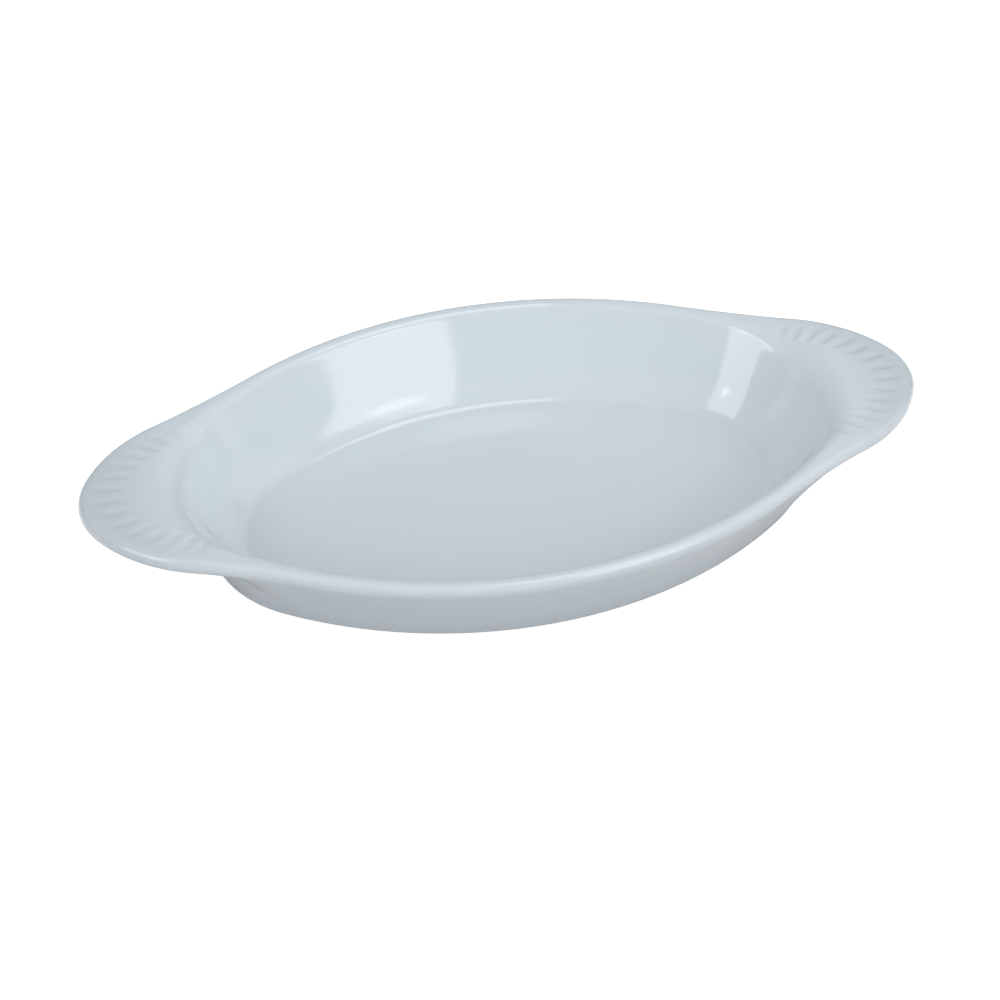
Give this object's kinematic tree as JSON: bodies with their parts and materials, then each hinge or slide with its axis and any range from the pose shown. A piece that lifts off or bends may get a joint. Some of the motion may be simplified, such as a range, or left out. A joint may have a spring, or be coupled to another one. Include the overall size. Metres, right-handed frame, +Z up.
{
  "type": "gratin dish",
  "caption": "Shallow oval gratin dish of white glazed ceramic, with a rounded rim that flows out into two flat fluted ears for lifting it out of the oven.",
  "frame": {"origin": "on the table, under the middle of the dish", "axes": "+X from ear to ear, +Y across the bowl, +Z up out of the bowl"},
  "size_m": [0.235, 0.1226, 0.0283],
  "materials": {
    "glaze": "gloss"
  },
  "bodies": {
    "root": {"dish": "glaze"}
  },
  "joints": []
}
